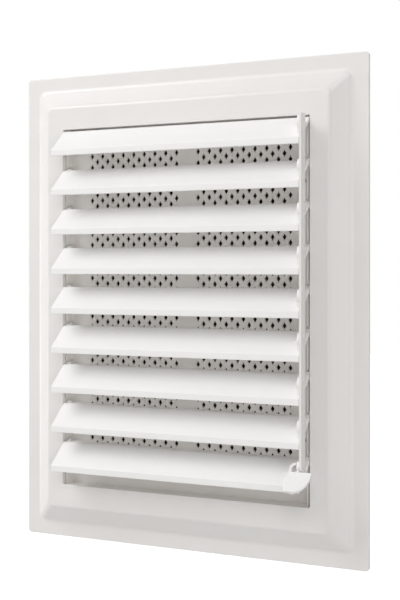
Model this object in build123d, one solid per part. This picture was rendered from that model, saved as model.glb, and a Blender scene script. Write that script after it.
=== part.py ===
from build123d import *
import os
from math import atan2, cos, sin, tan

# Wall grille with turning louvres. X runs to the right as seen from the front, Z up,
# and +Y into the wall. The wall plane is Y = 0 and the origin is its centre.
# "Stand" is the distance in front of the wall, so a point at stand s has Y = -s.

# Front frame
frame_width = 195.0
frame_height = 250.0
frame_corner_radius = 2.0
flange_thickness = 1.5
flange_edge_radius = 0.5
flange_border = 8.5          # outer edge to the foot of the moulding
riser_inset = 9.5            # top of the steep riser at the foot
riser_stand = 3.0
brow_inset = 16.6            # lower edge of the steep brow under the crest
brow_stand = 8.3
crest_inset = 17.5           # outer edge to the crest of the moulding
face_stand = 9.5             # flat plateau round the window
foot_corner_radius = 2.5
crest_corner_radius = 3.5
foot_round = 3.2             # hollow curve from the flat border up into the moulding
crest_round = 2.2
shell_thickness = 2.0        # behind the plateau
hollow_foot_inset = 10.8     # outer edge to the hollow behind the moulding, at the wall
hollow_crest_inset = 18.9    # the same at the hollow's ceiling
hollow_waist_stand = 1.3     # where the hollow starts to lean in
window_side_margin = 27.4    # outer edge to the window, left and right
window_end_margin = 29.8     # outer edge to the window, top and bottom
window_corner_radius = 0.6
window_edge_radius = 0.3
window_wall = 2.6            # thickness of the walls that run back from the window
top_wall_depth = 3.0         # the top wall is short, so the first louvre can tilt behind it

# Rear screen
screen_thickness = 0.8
screen_side_reach = 13.5     # how far the screen runs past the window at each side
screen_end_reach = 12.5      # the same at top and bottom
screen_corner_radius = 3.0
hole_width = 2.2
hole_height = 3.7
hole_column_pitch = 6.34
hole_row_pitch = 2.97
hole_side_margin = 13.0      # window sides to the outermost columns, at least
hole_end_margin = 8.0        # the same to the outermost rows
hole_step = 2                # every second diamond of every second row is cut here
hole_rows_rise = 0.8         # middle row, left solid, above the window's centre
lower_rows_rise = 0.3        # the rows below the middle sit this much closer to it
middle_rib = 12.4            # between the innermost hole centres of the two blocks
wall_hole_radius = 2.2
wall_hole_side_inset = 7.1   # window edge to the wall screw holes
wall_hole_spread_z = 128.0
left_rib_inset = 0.3         # window sides to the upright ribs beside the pivots
right_rib_inset = 1.5
guide_rib_width = 0.7
guide_rib_height = 6.0
guide_notch_up = 2.2         # notches in the ribs, from each louvre's rear flange
guide_notch_down = 3.0
rail_ledge_width = 1.4
rail_ledge_height = 2.0
rail_ledge_near = 24.0       # ends of each ledge above and below the middle
rail_ledge_far = 71.0

# Screws between screen and frame
screw_radius = 1.45
screw_hole_clearance = 0.05
screw_pass_clearance = 0.25
screw_length = 5.6
screw_tip_length = 1.2
screw_tip_taper = 30
screw_end_gap = 0.3
screw_head_radius = 2.8
screw_head_height = 1.6
screw_head_round = 0.5
screw_recess_depth = 0.8
screw_recess_width = 0.7
screw_recess_length = 3.0
head_clearance = 0.3
head_well_depth = 2.0
pad_height = 3.4
pad_radius = 4.2
boss_radius = 3.0
screw_side_reach = 8.9       # window edge to the screw centres at the sides
screw_end_reach = 6.8        # window edge to the corner screws, up and down

# Louvres
louvre_count = 9
first_louvre_drop = 1.05     # window top to the first louvre
last_louvre_room = 22.95     # last louvre to the window bottom
louvre_end_gap = 0.3
louvre_wall = 1.2
flange_back_stand = 2.7      # rear edge of the louvre's rear flange
fold_stand = 9.0             # where the flange turns into the sloping flat
lip_stand = 21.5             # front face of the lip
louvre_drop = 10.8           # fall of the sloping flat
lip_height = 3.2
fold_round = 1.2
lip_round = 0.4
pivot_stand = 5.5
pin_radius = 1.3
pin_length = 1.6
pin_running_clearance = 0.05
pin_end_gap = 0.3
pivot_boss_radius = 1.7
pivot_boss_length = 2.6

# Bearing rails behind the side walls of the window
rail_width = 4.0

# Link ears, link pins and link bar
bar_thickness = 1.15
bar_depth = 5.66
bar_stand = 18.97            # middle of the bar, and the link pins
bar_side_reach = 0.3         # how far the bar stands past the side of the window
bar_ear_gap = 0.3
bar_top_reach = 2.1          # first link pin to the top end of the bar
bar_corner_radius = 0.8
bar_notch_gap = 1.3          # louvre corner to the back of the bar
link_pin_drop = 1.43         # link pin below the louvre's rear flange
link_pin_radius = 0.9
link_pin_short = 0.1         # pin end inside the bar's outer face
ear_thickness = 1.3
ear_radius = 4.1
ear_stand = 16.7
ear_drop = 3.6
ear_top_drop = 0.3           # flat top of the ear, below the rear flange
ear_foot_back = 0.8          # ends of the ear's foot, as shares of its radius
ear_foot_front = 0.75
ear_rim = 0.8                # raised rim on the side of the bar
ear_hollow = 0.5
ear_hub_radius = 1.6         # round the link pin
last_ear_radius = 2.4        # the ear inside the handle is smaller and plain
gusset_stand = 13.9
gusset_thickness = 0.9
gusset_reach = 4.8
gusset_rise = 1.6

# Handle on the last louvre
handle_width = 11.8
handle_overhang = 5.47       # how far the tab runs past the window's side
handle_start = 3.3           # link pin to the near edge of the tab, along the slope
handle_end = 15.2            # link pin to the far edge
handle_thickness = 1.5
handle_corner_width = 7.0    # oval corner of the tab
handle_corner_reach = 9.4
handle_edge_radius = 0.4
handle_wall = 1.3
cheek_front_stand = 28.4
hook_reach = 2.0             # the hook that grips the foot of the louvre's lip
hook_thickness = 0.4
hook_inset = 0.75            # inner side of the handle to the hook
hook_width = 1.8
hood_front_stand = 21.38
hood_back_stand = 17.58
hood_top = 0.67              # above the louvre's rear flange
hood_ear_gap = 0.1
hood_back_wall = 0.9

# Worked out from the sizes above
half_window_x = frame_width / 2 - window_side_margin
half_window_z = frame_height / 2 - window_end_margin
ceiling_stand = face_stand - shell_thickness
louvre_pitch = (2 * half_window_z - first_louvre_drop - last_louvre_room) / (louvre_count - 1)
louvre_half_length = half_window_x - louvre_end_gap
pivot_drop = louvre_wall / 2
slope_run = lip_stand - fold_stand
slope_angle = atan2(louvre_drop, slope_run)
bar_outer_x = half_window_x + bar_side_reach
bar_inner_x = bar_outer_x - bar_thickness
ear_outer_x = bar_inner_x - bar_ear_gap
ear_inner_x = ear_outer_x - ear_thickness
seat_radius = pin_radius + pin_running_clearance
seat_depth = louvre_half_length + pin_length + pin_end_gap - half_window_x


def louvre_z(index):
    return half_window_z - first_louvre_drop - index * louvre_pitch


def upright_plane(stand):
    """Plane parallel to the wall, with its normal to the front."""
    return Plane(origin=(0, -stand, 0), x_dir=(1, 0, 0), z_dir=(0, -1, 0))


def outline(inset, radius, stand):
    width = frame_width - 2 * inset
    height = frame_height - 2 * inset
    return upright_plane(stand) * RectangleRounded(width, height, radius)


def block(x0, x1, stand0, stand1, z0, z1):
    corner = Location((x0, -stand1, z0))
    size = (x1 - x0, stand1 - stand0, z1 - z0)
    return corner * Box(*size, align=(Align.MIN, Align.MIN, Align.MIN))


def post(x, z, radius, stand0, stand1):
    return extrude(upright_plane(stand0) * Pos(x, z) * Circle(radius), stand1 - stand0)


def rod(x0, x1, stand, z, radius):
    return extrude(Plane.YZ.offset(x0) * Pos(-stand, z) * Circle(radius), x1 - x0)


def side_profile(points, x0, x1):
    """Closed outline given as (stand, z) pairs, run along X from x0 to x1."""
    corners = [(-stand, z) for stand, z in points]
    face = Plane.YZ.offset(x0) * make_face(Polyline(*corners, close=True))
    return extrude(face, x1 - x0)


def edges_at_stand(solid, stand):
    low = -stand - 0.01
    high = -stand + 0.01
    return solid.edges().filter_by_position(Axis.Y, low, high)


def outer_shell():
    flange = extrude(outline(0, frame_corner_radius, 0), flange_thickness)
    flange = fillet(edges_at_stand(flange, flange_thickness), flange_edge_radius)
    levels = [
        outline(flange_border, foot_corner_radius, flange_thickness),
        outline(riser_inset, foot_corner_radius, riser_stand),
        outline(brow_inset, crest_corner_radius, brow_stand),
        outline(crest_inset, crest_corner_radius, face_stand),
    ]
    moulding = loft(levels, ruled=True)
    moulding = fillet(edges_at_stand(moulding, face_stand), crest_round)
    shell = flange + moulding
    reach = frame_width / 2 - flange_border + 0.1
    rise = frame_height / 2 - flange_border + 0.1
    foot_edges = edges_at_stand(shell, flange_thickness)
    foot_edges = foot_edges.filter_by_position(Axis.X, -reach, reach)
    foot_edges = foot_edges.filter_by_position(Axis.Z, -rise, rise)
    return fillet(foot_edges, foot_round)


def hollow():
    foot = outline(hollow_foot_inset, foot_corner_radius, 0)
    waist = outline(hollow_foot_inset, foot_corner_radius, hollow_waist_stand)
    ceiling = outline(hollow_crest_inset, crest_corner_radius, ceiling_stand)
    return extrude(foot, hollow_waist_stand) + loft([waist, ceiling], ruled=True)


def window_walls():
    inner_x = half_window_x
    outer_x = half_window_x + window_wall
    inner_z = half_window_z
    outer_z = half_window_z + window_wall
    top = ceiling_stand
    walls = block(-outer_x, outer_x, face_stand - top_wall_depth, top, inner_z, outer_z)
    walls += block(-outer_x, outer_x, screen_thickness, top, -outer_z, -inner_z)
    for side in (-1, 1):
        x0, x1 = sorted((side * inner_x, side * outer_x))
        walls += block(x0, x1, pivot_stand, top, -outer_z, outer_z)
    return walls


def screw_places():
    x = half_window_x + screw_side_reach
    z = half_window_z + screw_end_reach
    return [(side * x, level * z) for side in (-1, 1) for level in (-1, 0, 1)]


def pivot_seats():
    """Round seats for the louvre pins, shared by the frame's side walls and the rails."""
    seats = []
    for index in range(louvre_count):
        z = louvre_z(index) - pivot_drop
        for side in (-1, 1):
            x0, x1 = sorted((side * half_window_x, side * (half_window_x + seat_depth)))
            seats.append(rod(x0, x1, pivot_stand, z, seat_radius))
    return seats


def front_frame():
    frame = outer_shell() - hollow() + window_walls()
    window = RectangleRounded(2 * half_window_x, 2 * half_window_z, window_corner_radius)
    frame -= extrude(upright_plane(0) * window, face_stand)
    rim = edges_at_stand(frame, face_stand)
    rim = rim.filter_by_position(Axis.X, -half_window_x - 0.1, half_window_x + 0.1)
    rim = rim.filter_by_position(Axis.Z, -half_window_z - 0.1, half_window_z + 0.1)
    frame = fillet(rim, window_edge_radius)
    frame += [post(x, z, boss_radius, pad_height, ceiling_stand) for x, z in screw_places()]
    pilot_radius = screw_radius + screw_hole_clearance
    pilot_end = head_well_depth + screw_length + screw_end_gap
    pilots = [post(x, z, pilot_radius, pad_height, pilot_end) for x, z in screw_places()]
    return frame - (pilots + pivot_seats())


def screen_hole_places():
    """Diamonds beside the upright rib and above and below the solid middle row."""
    middle = int((half_window_z - hole_end_margin - hole_rows_rise) / hole_row_pitch)
    columns = 1 + int((half_window_x - hole_side_margin - middle_rib / 2) / hole_column_pitch)
    upper_rows = range(0, middle, hole_step)
    lower_rows = range(middle + hole_step, 2 * middle + 1, hole_step)
    places = []
    for order, row in enumerate([*upper_rows, *lower_rows]):
        z = hole_rows_rise + (middle - row) * hole_row_pitch
        if row > middle:
            z += lower_rows_rise
        first = order % hole_step
        for column in range(first, columns, hole_step):
            x = middle_rib / 2 + column * hole_column_pitch
            places += [(-x, z), (x, z)]
    return places


def diamond_wire(x, z):
    half_width = hole_width / 2
    half_height = hole_height / 2
    corners = [(x + half_width, z), (x, z + half_height), (x - half_width, z), (x, z - half_height)]
    return Wire.make_polygon(corners, close=True)


def circle_wire(x, z, radius):
    return Pos(x, z) * Wire.make_circle(radius)


def wall_hole_places():
    x = half_window_x - wall_hole_side_inset
    z = wall_hole_spread_z / 2
    return [(side * x, level * z) for side in (-1, 1) for level in (-1, 1)]


def screw_pad(x, z):
    pad = post(x, z, pad_radius, 0, pad_height)
    pad -= post(x, z, screw_head_radius + head_clearance, 0, head_well_depth)
    return pad - post(x, z, screw_radius + screw_pass_clearance, 0, pad_height)


def rail_ledge(side, level):
    x0, x1 = sorted((side * (half_window_x + rail_width),
                     side * (half_window_x + rail_width + rail_ledge_width)))
    z0, z1 = sorted((level * rail_ledge_near, level * rail_ledge_far))
    return block(x0, x1, 0, screen_thickness + rail_ledge_height, z0, z1)


def guide_rib(side, inset):
    """Upright rib beside the pivots, notched where each louvre's flange swings."""
    near = half_window_x - inset
    x0, x1 = sorted((side * near, side * (near - guide_rib_width)))
    top = screen_thickness + guide_rib_height
    rib = block(x0, x1, 0, top, -half_window_z, half_window_z)
    for index in range(louvre_count):
        z = louvre_z(index)
        rib -= block(x0, x1, screen_thickness, top, z - guide_notch_down, z + guide_notch_up)
    return rib


def rear_screen():
    width = 2 * (half_window_x + screen_side_reach)
    height = 2 * (half_window_z + screen_end_reach)
    rim = RectangleRounded(width, height, screen_corner_radius).wire()
    cuts = [diamond_wire(x, z) for x, z in screen_hole_places()]
    cuts += [circle_wire(x, z, wall_hole_radius) for x, z in wall_hole_places()]
    cuts += [circle_wire(x, z, screw_head_radius + head_clearance) for x, z in screw_places()]
    sheet = extrude(upright_plane(0) * Face(rim, cuts), screen_thickness)
    extras = [screw_pad(x, z) for x, z in screw_places()]
    extras += [rail_ledge(side, level) for side in (-1, 1) for level in (-1, 1)]
    return sheet + extras + [guide_rib(-1, left_rib_inset), guide_rib(1, right_rib_inset)]


def bearing_rail(side):
    x0, x1 = sorted((side * half_window_x, side * (half_window_x + rail_width)))
    rail = block(x0, x1, screen_thickness, pivot_stand, -half_window_z, half_window_z + window_wall)
    return rail - pivot_seats()


def screw(x, z):
    seat = head_well_depth
    head = post(x, z, screw_head_radius, seat - screw_head_height, seat)
    head = fillet(edges_at_stand(head, seat - screw_head_height), screw_head_round)
    shank = post(x, z, screw_radius, seat, seat + screw_length - screw_tip_length)
    tip_base = upright_plane(seat + screw_length - screw_tip_length)
    tip = extrude(tip_base * Pos(x, z) * Circle(screw_radius), screw_tip_length, taper=screw_tip_taper)
    recess_stand = seat - screw_head_height
    bottom = recess_stand + screw_recess_depth
    half_width = screw_recess_width / 2
    half_length = screw_recess_length / 2
    recess = block(x - half_length, x + half_length, recess_stand, bottom,
                   z - half_width, z + half_width)
    recess += block(x - half_width, x + half_width, recess_stand, bottom,
                    z - half_length, z + half_length)
    return head + shank + tip - recess


def slope_z(stand):
    """Height of the sloping flat's upper side below the rear flange."""
    return -(stand - fold_stand) * tan(slope_angle)


def louvre_profile():
    inner_lip = lip_stand - louvre_wall
    under = louvre_wall / cos(slope_angle)
    under_fold = fold_stand - louvre_wall * tan(slope_angle / 2)
    return [
        (flange_back_stand, 0),
        (fold_stand, 0),
        (lip_stand, -louvre_drop),
        (lip_stand, -louvre_drop - lip_height),
        (inner_lip, -louvre_drop - lip_height),
        (inner_lip, slope_z(inner_lip) - under),
        (under_fold, -louvre_wall),
        (flange_back_stand, -louvre_wall),
    ]


def lengthwise_edges(blade, stand):
    edges = blade.edges().filter_by(Axis.X)
    return edges.filter_by_position(Axis.Y, -stand - 0.01, -stand + 0.01)


def louvre_blade():
    blade = side_profile(louvre_profile(), -louvre_half_length, louvre_half_length)
    blade = fillet(lengthwise_edges(blade, fold_stand), fold_round)
    return fillet(lengthwise_edges(blade, lip_stand), lip_round)


def pivot_end(side):
    """Round boss and pin at one end of a louvre."""
    x0, x1 = sorted((side * (louvre_half_length - pivot_boss_length), side * louvre_half_length))
    boss = rod(x0, x1, pivot_stand, -pivot_drop, pivot_boss_radius)
    x0, x1 = sorted((side * louvre_half_length, side * (louvre_half_length + pin_length)))
    return boss + rod(x0, x1, pivot_stand, -pivot_drop, pin_radius)


def link_ear(stand, drop, radius):
    """Round ear that stands on the flat, clipped at the flat's underside."""
    ear = rod(ear_inner_x, ear_outer_x, stand, -drop, radius)
    back = stand - radius * ear_foot_back
    front = stand + radius * ear_foot_front
    foot = [(back, -drop), (back, slope_z(back)), (front, slope_z(front)), (front, -drop)]
    ear += side_profile(foot, ear_inner_x, ear_outer_x)
    under = [
        (fold_stand, slope_z(fold_stand) - louvre_wall),
        (lip_stand, slope_z(lip_stand) - louvre_wall),
        (lip_stand, slope_z(lip_stand) - 2 * ear_radius),
        (fold_stand, slope_z(lip_stand) - 2 * ear_radius),
    ]
    return ear - side_profile(under, ear_inner_x, ear_outer_x)


def rimmed_ear():
    ear = link_ear(ear_stand, ear_drop, ear_radius)
    floor = ear_outer_x - ear_hollow
    hollow_side = rod(floor, ear_outer_x, ear_stand, -ear_drop, ear_radius - ear_rim)
    hollow_side -= rod(floor, ear_outer_x, bar_stand, -link_pin_drop, ear_hub_radius)
    top = block(ear_inner_x, ear_outer_x, fold_stand, lip_stand, -ear_top_drop, ear_radius)
    return ear - hollow_side - top


def ear_gusset():
    """Small web from the sloping flat up to the inner side of the ear."""
    foot_z = slope_z(gusset_stand) - louvre_wall / 2
    top_z = slope_z(gusset_stand) + gusset_rise
    corners = [(ear_inner_x, foot_z), (ear_inner_x, top_z), (ear_inner_x - gusset_reach, foot_z)]
    face = make_face(Polyline(*corners, close=True))
    return extrude(upright_plane(gusset_stand - gusset_thickness / 2) * face, gusset_thickness)


def louvre(last):
    notch_stand = bar_stand - bar_depth / 2 - bar_notch_gap
    foot_z = -louvre_drop - lip_height
    blade = louvre_blade()
    blade -= block(ear_outer_x, louvre_half_length, notch_stand, lip_stand, foot_z, 0)
    if last:
        ear = link_ear(bar_stand, link_pin_drop, last_ear_radius)
    else:
        ear = rimmed_ear() + ear_gusset()
    pin_end = bar_outer_x - link_pin_short
    pin = rod(ear_outer_x, pin_end, bar_stand, -link_pin_drop, link_pin_radius)
    return blade + [pivot_end(-1), pivot_end(1), ear, pin]


def link_bar():
    top = louvre_z(0) - link_pin_drop + bar_top_reach
    foot = louvre_z(louvre_count - 1) - link_pin_drop
    near = bar_stand - bar_depth / 2
    far = bar_stand + bar_depth / 2
    bar = block(bar_inner_x, bar_outer_x, near, far, foot, top)
    corners = bar.edges().filter_by(Axis.X).group_by(Axis.Z)[-1]
    bar = fillet(corners, bar_corner_radius)
    bar += rod(bar_inner_x, bar_outer_x, bar_stand, foot, bar_depth / 2)
    for index in range(louvre_count):
        z = louvre_z(index) - link_pin_drop
        bar -= rod(bar_inner_x, bar_outer_x, bar_stand, z, link_pin_radius + pin_running_clearance)
    return bar


def tab_z(stand):
    """Height of the tab's upper side, which lies in one plane with the link pin."""
    return -link_pin_drop - (stand - bar_stand) * tan(slope_angle)


def handle_tab(left, right):
    plane = Plane(origin=(0, -bar_stand, -link_pin_drop), x_dir=(1, 0, 0),
                  z_dir=(0, sin(slope_angle), -cos(slope_angle)))
    centre = (right - handle_corner_width, handle_end - handle_corner_reach)
    lines = Line((left, handle_end), (left, handle_start))
    lines += Line((left, handle_start), (right, handle_start))
    lines += Line((right, handle_start), (right, centre[1]))
    lines += EllipticalCenterArc(centre, handle_corner_width, handle_corner_reach, 0, arc_size=90)
    lines += Line((centre[0], handle_end), (left, handle_end))
    tab = extrude(plane * make_face(lines), handle_thickness)
    return fillet(tab.edges(), handle_edge_radius)


def handle_hood(left, right, z):
    """Quarter-round hood over the inner side of the link pin, closed at the back."""
    outer = quarter_oval(right - left, hood_top - z)
    inner = quarter_oval(right - left - handle_wall, hood_top - z - handle_wall)
    hood_depth = hood_front_stand - hood_back_stand
    place = upright_plane(hood_back_stand) * Pos(right, z)
    arch = extrude(place * (outer - inner), hood_depth)
    return arch + extrude(place * outer, hood_back_wall)


def quarter_oval(width, height):
    lines = EllipticalCenterArc((0, 0), width, height, 90, arc_size=90)
    lines += Line((-width, 0), (0, 0))
    lines += Line((0, 0), (0, height))
    return make_face(lines)


def handle():
    right = half_window_x + handle_overhang
    left = right - handle_width
    near_stand = bar_stand + handle_start * cos(slope_angle)
    brow_z = tab_z(near_stand)
    lip_z = slope_z(lip_stand)
    foot_z = lip_z - lip_height
    skirt_front = lip_stand + handle_wall
    tab_core = handle_thickness / 2 / cos(slope_angle)
    cheek = [
        (hood_back_stand, slope_z(hood_back_stand)),
        (lip_stand, lip_z),
        (skirt_front, lip_z),
        (cheek_front_stand, tab_z(cheek_front_stand) - tab_core),
        (near_stand, brow_z - tab_core),
        (hood_front_stand, brow_z),
        (hood_back_stand, brow_z),
    ]
    hook = [
        (lip_stand, foot_z),
        (lip_stand, tab_z(lip_stand) - tab_core),
        (skirt_front, tab_z(skirt_front) - tab_core),
        (skirt_front, foot_z - hook_thickness),
        (lip_stand - hook_reach, foot_z - hook_thickness),
        (lip_stand - hook_reach, foot_z),
    ]
    pieces = [
        side_profile(cheek, left, left + handle_wall),
        side_profile(hook, left + hook_inset, left + hook_inset + hook_width),
        handle_hood(left, ear_inner_x - hood_ear_gap, brow_z),
    ]
    return handle_tab(left, right) + pieces


def save(name, solid):
    solid.label = name
    export_step(solid, "parts/" + name + ".step")


def main():
    os.makedirs("parts", exist_ok=True)
    save("front_frame", front_frame())
    save("rear_screen", rear_screen())
    save("left_bearing_rail", bearing_rail(-1))
    save("right_bearing_rail", bearing_rail(1))
    save("screen_screws", Compound([screw(x, z) for x, z in screw_places()]))
    middle = louvre(last=False)
    for index in range(louvre_count - 1):
        save("louvre_" + str(index + 1), Pos(0, 0, louvre_z(index)) * middle)
    last_z = louvre_z(louvre_count - 1)
    save("louvre_" + str(louvre_count), Pos(0, 0, last_z) * louvre(last=True))
    save("link_bar", link_bar())
    save("handle", Pos(0, 0, last_z) * handle())


main()
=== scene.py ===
import math

import bpy
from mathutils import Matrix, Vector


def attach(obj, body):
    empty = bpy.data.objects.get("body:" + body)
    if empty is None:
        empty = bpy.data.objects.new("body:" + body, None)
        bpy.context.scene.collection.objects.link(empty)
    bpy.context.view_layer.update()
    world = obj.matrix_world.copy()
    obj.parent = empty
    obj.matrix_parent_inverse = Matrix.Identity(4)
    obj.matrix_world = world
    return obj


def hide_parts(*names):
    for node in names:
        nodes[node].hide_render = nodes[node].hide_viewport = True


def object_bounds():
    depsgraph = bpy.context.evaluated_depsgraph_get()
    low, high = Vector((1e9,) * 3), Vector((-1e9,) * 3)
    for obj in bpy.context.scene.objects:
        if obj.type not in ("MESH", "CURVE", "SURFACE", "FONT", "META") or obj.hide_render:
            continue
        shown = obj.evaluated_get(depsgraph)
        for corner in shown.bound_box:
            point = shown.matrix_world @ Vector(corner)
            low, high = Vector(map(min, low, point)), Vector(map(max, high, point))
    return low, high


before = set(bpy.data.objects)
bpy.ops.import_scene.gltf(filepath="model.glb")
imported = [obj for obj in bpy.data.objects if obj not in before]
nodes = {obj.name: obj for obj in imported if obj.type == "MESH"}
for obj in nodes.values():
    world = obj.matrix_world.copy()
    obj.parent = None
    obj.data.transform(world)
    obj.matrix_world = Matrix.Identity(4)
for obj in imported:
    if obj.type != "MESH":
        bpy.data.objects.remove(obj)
cadBox = [list(corner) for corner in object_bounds()]
print("frame loaded:", len(nodes), "CAD nodes")


# Camera, to the right of the grille and a little above its middle
camera = {
    "place": (0.2541, -0.5214, 0.0199), "turn": 25.36, "lens": 67.16, "shiftY": -0.0498,
    "clipStart": 0.01,
}


def setCamera():
    bpy.ops.object.camera_add(location=camera["place"])
    eye = bpy.context.object
    eye.rotation_euler = (math.radians(90), 0, math.radians(camera["turn"]))
    eye.data.lens = camera["lens"]
    eye.data.shift_y = camera["shiftY"]
    eye.data.clip_start = camera["clipStart"]
    bpy.context.scene.camera = eye


setCamera()
bpy.context.scene.view_settings.view_transform = "Standard"
print("camera set")


# Node helpers
def addNode(tree, kind, values=None, inputs=None):
    node = tree.nodes.new("ShaderNode" + kind)
    for key, value in (values or {}).items():
        setattr(node, key, value)
    for key, value in (inputs or {}).items():
        if isinstance(value, bpy.types.NodeSocket):
            tree.links.new(value, node.inputs[key])
        else:
            node.inputs[key].default_value = value
    return node


def mathNode(tree, operation, first, second=0.5, clamp=False):
    values = {"operation": operation, "use_clamp": clamp}
    return addNode(tree, "Math", values, {0: first, 1: second}).outputs[0]


def spread(tree, value, low, high, newLow=0.0, newHigh=1.0):
    places = {"From Min": low, "From Max": high, "To Min": newLow, "To Max": newHigh}
    node = addNode(tree, "MapRange", {"clamp": True}, {"Value": value, **places})
    return node.outputs["Result"]


def blendColours(tree, factor, first, second):
    node = addNode(tree, "Mix", {"data_type": "RGBA"}, {0: factor, 6: first, 7: second})
    return node.outputs[2]


def noise(tree, place, scale, detail, roughness=0.55):
    values = {"Vector": place, "Scale": scale, "Detail": detail, "Roughness": roughness}
    return addNode(tree, "TexNoise", None, values).outputs["Fac"]


def newMaterial(name):
    material = bpy.data.materials.new(name)
    material.use_nodes = True
    return material, material.node_tree, material.node_tree.nodes["Principled BSDF"]


def bump(tree, height, depth, normal):
    values = {"Height": height, "Distance": depth, "Normal": normal, "Strength": 1.0}
    return addNode(tree, "Bump", None, values).outputs["Normal"]


def softened(tree, look):
    samples = {"samples": look["edgeSamples"]}
    return addNode(tree, "Bevel", samples, {"Radius": look["edgeRadius"]}).outputs[0]


# Moulded plastic: cloudy tone, flow streaks from the mould, fine grain, softened edges and a
# painted edge tone
def mouldedPlastic(name, look):
    material, tree, shader = newMaterial(name)
    place = addNode(tree, "TexCoord").outputs["Object"]
    cloud = spread(tree, noise(tree, place, *look["cloudNoise"]), *look["cloudBand"])
    tone = blendColours(tree, cloud, look["pale"], look["deep"])
    stretched = addNode(tree, "Mapping", None, {"Vector": place, "Scale": look["flow"]})
    streak = noise(tree, stretched.outputs[0], *look["flowNoise"])
    streakTone = spread(tree, streak, *look["flowBand"], 0.0, look["flowTone"])
    tone = blendColours(tree, streakTone, tone, look["streak"])
    cells = addNode(tree, "TexVoronoi", None, {"Vector": place, "Scale": look["speckScale"]})
    speck = spread(tree, cells.outputs["Distance"], *look["speckBand"], look["speckTone"], 0.0)
    tone = blendColours(tree, speck, tone, look["speck"])
    softEdge = softened(tree, look)
    flatNormal = addNode(tree, "NewGeometry").outputs["Normal"]
    dot = addNode(tree, "VectorMath", {"operation": "DOT_PRODUCT"}, {0: softEdge, 1: flatNormal})
    # Painted edge tone: sharp edges are blended toward a fixed tone. It is a painted highlight on
    # the frame, bar and screen, and comes out slightly darker than the paler louvre and handle
    # plastics
    edge = spread(tree, dot.outputs["Value"], *look["edgeBand"], 0.0, look["edgeTone"])
    tone = blendColours(tree, edge, tone, look["edge"])
    tree.links.new(tone, shader.inputs["Base Color"])
    smear = noise(tree, place, *look["smearNoise"])
    patchy = spread(tree, smear, *look["smearBand"], *look["rough"])
    polished = mathNode(tree, "MULTIPLY", edge, look["edgePolish"])
    tree.links.new(mathNode(tree, "SUBTRACT", patchy, polished, True), shader.inputs["Roughness"])
    wavy = bump(tree, noise(tree, place, *look["waveNoise"]), look["waveDepth"], softEdge)
    lined = bump(tree, streak, look["flowDepth"], wavy)
    grained = bump(tree, noise(tree, place, *look["grainNoise"]), look["grainDepth"], lined)
    tree.links.new(grained, shader.inputs["Normal"])
    shader.inputs["IOR"].default_value = look["ior"]
    shader.inputs["Subsurface Weight"].default_value = look["glow"]
    shader.inputs["Subsurface Radius"].default_value = look["glowTint"]
    shader.inputs["Subsurface Scale"].default_value = look["glowReach"]
    return material


def dress(material, *names):
    for name in names:
        for index in range(len(nodes[name].data.materials)):
            nodes[name].data.materials[index] = material


# A noise is its scale, detail and roughness, and a band is where its mask starts and ends
plastic = {
    "pale": (0.90, 0.882, 0.866, 1), "deep": (0.875, 0.855, 0.837, 1),
    "cloudNoise": (22.0, 4.0), "cloudBand": (0.34, 0.66),
    "flow": (3.0, 60.0, 60.0), "flowNoise": (6.0, 5.0, 0.62), "flowBand": (0.50, 0.72),
    "flowTone": 0.25, "flowDepth": 0.000012, "streak": (0.915, 0.90, 0.887, 1),
    "speckScale": 160.0, "speckBand": (0.03, 0.07), "speckTone": 0.16,
    "speck": (0.62, 0.59, 0.55, 1),
    # The edge colour below is the painted edge highlight, blended in along sharp edges
    "edgeRadius": 0.0003, "edgeSamples": 6, "edgeBand": (0.995, 0.90), "edgeTone": 0.5,
    "edge": (0.93, 0.92, 0.91, 1), "edgePolish": 0.08,
    "rough": (0.34, 0.44), "smearNoise": (55.0, 3.0), "smearBand": (0.35, 0.65),
    "waveNoise": (34.0, 1.0), "waveDepth": 0.00008,
    "grainNoise": (2600.0, 2.0), "grainDepth": 0.000006,
    "ior": 1.5, "glow": 0.06, "glowTint": (1.0, 0.85, 0.7), "glowReach": 0.001,
}
framePlastic = {
    **plastic, "flow": (30.0, 30.0, 3.0), "cloudNoise": (16.0, 4.0), "rough": (0.30, 0.36),
}
# Paler copy of the same plastic for the louvres: painted light, brightening the blades beyond the
# frame's tone
louvrePlastic = {**plastic, "pale": (0.985, 0.98, 0.975, 1), "deep": (0.965, 0.959, 0.953, 1)}
barPlastic = {**plastic, "flow": (60.0, 60.0, 3.0)}
# Near-white copy for the handle: painted highlight, the bright flat look of its lit face
handlePlastic = {
    **plastic, "pale": (0.98, 0.978, 0.972, 1), "deep": (0.965, 0.962, 0.955, 1),
    "rough": (0.20, 0.26), "edgePolish": 0.06, "flow": (20.0, 20.0, 20.0), "grainDepth": 0.000003,
}
# Warmer copy of the plastic for the screen: painted light, standing in for the warm bounce light
# in the shaded space behind the louvres
screenPlastic = {
    **plastic, "pale": (0.92, 0.89, 0.858, 1), "deep": (0.90, 0.866, 0.83, 1),
    "rough": (0.42, 0.54), "streak": (0.93, 0.905, 0.875, 1), "flow": (12.0, 60.0, 12.0),
    "edgeRadius": 0.00015,
}
louvres = ["louvre_" + str(number) for number in range(1, 10)]
screenMaterial = mouldedPlastic("screenPlastic", screenPlastic)
dress(mouldedPlastic("framePlastic", framePlastic), "front_frame")
dress(mouldedPlastic("louvrePlastic", louvrePlastic), *louvres)
dress(mouldedPlastic("barPlastic", barPlastic), "link_bar")
dress(mouldedPlastic("handlePlastic", handlePlastic), "handle")
dress(screenMaterial, "left_bearing_rail", "right_bearing_rail", "rear_screen")
print("plastics made")


# Zinc plated screws with turning marks round each head
zinc = {
    "tone": (0.66, 0.67, 0.69, 1), "dull": (0.52, 0.50, 0.46, 1), "rough": (0.26, 0.42),
    "sideX": 0.079, "halfStepZ": 0.051, "ringsPerMetre": 9000.0, "ringDepth": 0.000012,
    "stainNoise": (900.0, 4.0), "stainBand": (0.45, 0.75), "edgeRadius": 0.0001, "edgeSamples": 4,
}


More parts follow.
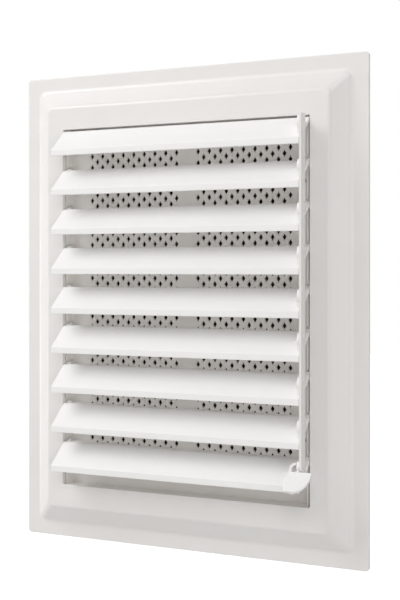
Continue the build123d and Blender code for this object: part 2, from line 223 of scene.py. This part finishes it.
def zincMaterial():
    material, tree, shader = newMaterial("zincPlate")
    place = addNode(tree, "TexCoord").outputs["Object"]
    split = addNode(tree, "SeparateXYZ", None, {"Vector": place})
    x = mathNode(tree, "SUBTRACT", mathNode(tree, "ABSOLUTE", split.outputs["X"]), zinc["sideX"])
    z = mathNode(tree, "ABSOLUTE", split.outputs["Z"])
    z = mathNode(tree, "ABSOLUTE", mathNode(tree, "SUBTRACT", z, zinc["halfStepZ"]))
    z = mathNode(tree, "SUBTRACT", z, zinc["halfStepZ"])
    squares = [mathNode(tree, "MULTIPLY", side, side) for side in (x, z)]
    reach = mathNode(tree, "SQRT", mathNode(tree, "ADD", *squares))
    rings = mathNode(tree, "SINE", mathNode(tree, "MULTIPLY", reach, zinc["ringsPerMetre"]))
    stain = spread(tree, noise(tree, place, *zinc["stainNoise"]), *zinc["stainBand"])
    tone = blendColours(tree, stain, zinc["tone"], zinc["dull"])
    tree.links.new(tone, shader.inputs["Base Color"])
    tree.links.new(spread(tree, stain, 0.0, 1.0, *zinc["rough"]), shader.inputs["Roughness"])
    turned = bump(tree, rings, zinc["ringDepth"], softened(tree, zinc))
    tree.links.new(turned, shader.inputs["Normal"])
    shader.inputs["Metallic"].default_value = 1.0
    return material


dress(zincMaterial(), "screen_screws")
print("screws made")


# Rear screen: the solid's own plate with every remaining diamond cut through
screen = {
    "holeWidth": 0.0022, "holeHeight": 0.0037, "columnPitch": 0.00634, "rowPitch": 0.00297,
    "middleRow": 29, "middleRise": 0.0008, "lowerRise": 0.0003, "rib": 0.0124, "plate": 0.0008,
    "cutDepth": 3, "weld": 0.000002,
}
# Of each block: first column, columns, column step, first row, rows, row step
diamondBlocks = [
    (0.5, 8, 1, 1, 14, 2), (1, 4, 2, 0, 8, 4), (0, 5, 2, 2, 7, 4),
    (0.5, 8, 1, 30, 15, 2), (0, 5, 2, 31, 7, 4), (1, 4, 2, 33, 7, 4),
]


def pickOnly(piece):
    bpy.ops.object.select_all(action="DESELECT")
    piece.select_set(True)
    bpy.context.view_layer.objects.active = piece


def applyAll(piece):
    pickOnly(piece)
    for name in [modifier.name for modifier in piece.modifiers]:
        bpy.ops.object.modifier_apply(modifier=name)


def diamondBlock(firstColumn, columns, columnStep, firstRow, rows, rowStep):
    bpy.ops.object.select_all(action="DESELECT")
    bpy.ops.mesh.primitive_cylinder_add(vertices=4, radius=0.5, depth=1)
    diamond = bpy.context.object
    x = screen["rib"] / 2 + firstColumn * screen["columnPitch"]
    z = screen["middleRise"] + (screen["middleRow"] - firstRow) * screen["rowPitch"]
    if firstRow > screen["middleRow"]:
        z += screen["lowerRise"]
    diamond.rotation_euler = (math.radians(90), 0, 0)
    depth = screen["plate"] * screen["cutDepth"]
    diamond.scale = (screen["holeWidth"], screen["holeHeight"], depth)
    diamond.location = (x, -screen["plate"] / 2, z)
    bpy.ops.object.transform_apply(location=True, rotation=True, scale=True)
    steps = [(columns, (columnStep * screen["columnPitch"], 0, 0)),
             (rows, (0, 0, -rowStep * screen["rowPitch"]))]
    for count, offset in steps:
        copies = diamond.modifiers.new("copies", "ARRAY")
        copies.count = count
        copies.use_relative_offset = False
        copies.use_constant_offset = True
        copies.constant_offset_displace = offset
    diamond.modifiers.new("otherSide", "MIRROR")
    applyAll(diamond)
    return diamond


def cutScreen():
    pickOnly(nodes["rear_screen"])
    bpy.ops.object.duplicate()
    plate = bpy.context.object
    plate.name = "piercedScreen"
    bpy.ops.object.mode_set(mode="EDIT")
    bpy.ops.mesh.select_all(action="SELECT")
    bpy.ops.mesh.remove_doubles(threshold=screen["weld"])
    bpy.ops.object.mode_set(mode="OBJECT")
    blocks = [diamondBlock(*block) for block in diamondBlocks]
    for block in blocks:
        cut = plate.modifiers.new("holes", "BOOLEAN")
        cut.operation = "DIFFERENCE"
        cut.solver = "EXACT"
        cut.object = block
    applyAll(plate)
    for block in blocks:
        bpy.data.objects.remove(block)
    return plate


piercedScreen = cutScreen()
piercedScreen.data.materials.clear()
piercedScreen.data.materials.append(screenMaterial)
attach(piercedScreen, "frame")
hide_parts("rear_screen")
print("screen pierced:", len(piercedScreen.data.polygons), "faces")


# Studio: white surroundings, soft lamps, a floor and a dark card painting the shade behind the
# holes
studio = {
    "ambient": 0.25, "tint": (1, 0.975, 0.94, 1),
    "floorDrop": 0.36, "floorSize": 12.0, "floorTone": 0.8, "floorRough": 0.9, "floorLift": 0.9,
}
lamps = {
    "softRight": {"place": (0.50, -1.20, 0.85), "size": 0.6, "power": 4.2},
    "highLeft": {"place": (-0.60, -0.50, 0.95), "size": 0.6, "power": 3.65},
    "nearLeft": {"place": (-0.55, -0.50, 0.55), "size": 0.4, "power": 1.85},
    "sideLeft": {"place": (-1.00, -0.20, -0.05), "size": 0.5, "power": 2.2},
    "sideRight": {"place": (1.00, -0.50, 0.00), "size": 0.5, "power": 1.05},
    "frontRight": {"place": (0.85, -0.95, -0.05), "size": 0.5, "power": 1.8},
}
# The card is painted shade: near-black where seen from the front through the holes, clear from
# behind
card = {
    "halfWidth": 0.067, "halfHeight": 0.094, "behind": 0.0003, "tone": (0.012, 0.011, 0.010, 1),
}


def addLamp(name, lamp):
    bpy.ops.object.light_add(type="AREA", location=lamp["place"])
    light = bpy.context.object
    light.name = name
    light.data.size = lamp["size"]
    light.data.energy = lamp["power"]
    x, y, z = lamp["place"]
    tilt = math.atan2(math.hypot(x, y), z)
    light.rotation_euler = (tilt, 0, math.atan2(-y, -x) - math.radians(90))


def seenDirectly(tree):
    path = addNode(tree, "LightPath")
    seen = mathNode(tree, "MAXIMUM", path.outputs["Is Camera Ray"], path.outputs["Is Glossy Ray"])
    return mathNode(tree, "MAXIMUM", seen, path.outputs["Is Transmission Ray"])


def setWorld():
    world = bpy.data.worlds.new("paleStudio")
    bpy.context.scene.world = world
    world.use_nodes = True
    tree = world.node_tree
    tree.nodes.clear()
    dimLight = {"Color": studio["tint"], "Strength": studio["ambient"]}
    dim = addNode(tree, "Background", None, dimLight).outputs[0]
    white = addNode(tree, "Background", None, {"Color": (1, 1, 1, 1), "Strength": 1.0}).outputs[0]
    mix = addNode(tree, "MixShader", None, {0: seenDirectly(tree), 1: dim, 2: white})
    addNode(tree, "OutputWorld", None, {"Surface": mix.outputs[0]})


def addFloor(lowest):
    bpy.ops.object.select_all(action="DESELECT")
    height = lowest - studio["floorDrop"]
    bpy.ops.mesh.primitive_plane_add(size=studio["floorSize"], location=(0, 0, height))
    floor = bpy.context.object
    floor.name = "floor"
    material, tree, shader = newMaterial("paleFloor")
    tone = studio["floorTone"]
    shader.inputs["Base Color"].default_value = (tone, tone, tone, 1)
    shader.inputs["Roughness"].default_value = studio["floorRough"]
    lift = mathNode(tree, "MULTIPLY", seenDirectly(tree), studio["floorLift"])
    shader.inputs["Emission Color"].default_value = (1, 1, 1, 1)
    tree.links.new(lift, shader.inputs["Emission Strength"])
    floor.data.materials.append(material)


def addCard():
    bpy.ops.object.select_all(action="DESELECT")
    upright = (math.radians(90), 0, 0)
    bpy.ops.mesh.primitive_plane_add(size=2, location=(0, card["behind"], 0), rotation=upright)
    back = bpy.context.object
    back.name = "darkCard"
    back.scale = (card["halfWidth"], card["halfHeight"], 1)
    bpy.ops.object.transform_apply(location=True, rotation=True, scale=True)
    # Painted shade behind the holes: black card facing the front, transparent facing the back
    material, tree, shader = newMaterial("paintedShadeCard")
    shader.inputs["Base Color"].default_value = card["tone"]
    shader.inputs["Roughness"].default_value = 1.0
    clear = addNode(tree, "BsdfTransparent")
    rear = addNode(tree, "NewGeometry").outputs["Backfacing"]
    mix = addNode(tree, "MixShader", None, {0: rear, 1: shader.outputs[0], 2: clear.outputs[0]})
    tree.links.new(mix.outputs[0], tree.nodes["Material Output"].inputs["Surface"])
    back.data.materials.append(material)


setWorld()
for lampName, lamp in lamps.items():
    addLamp(lampName, lamp)
addFloor(cadBox[0][2])
addCard()
print("studio set")
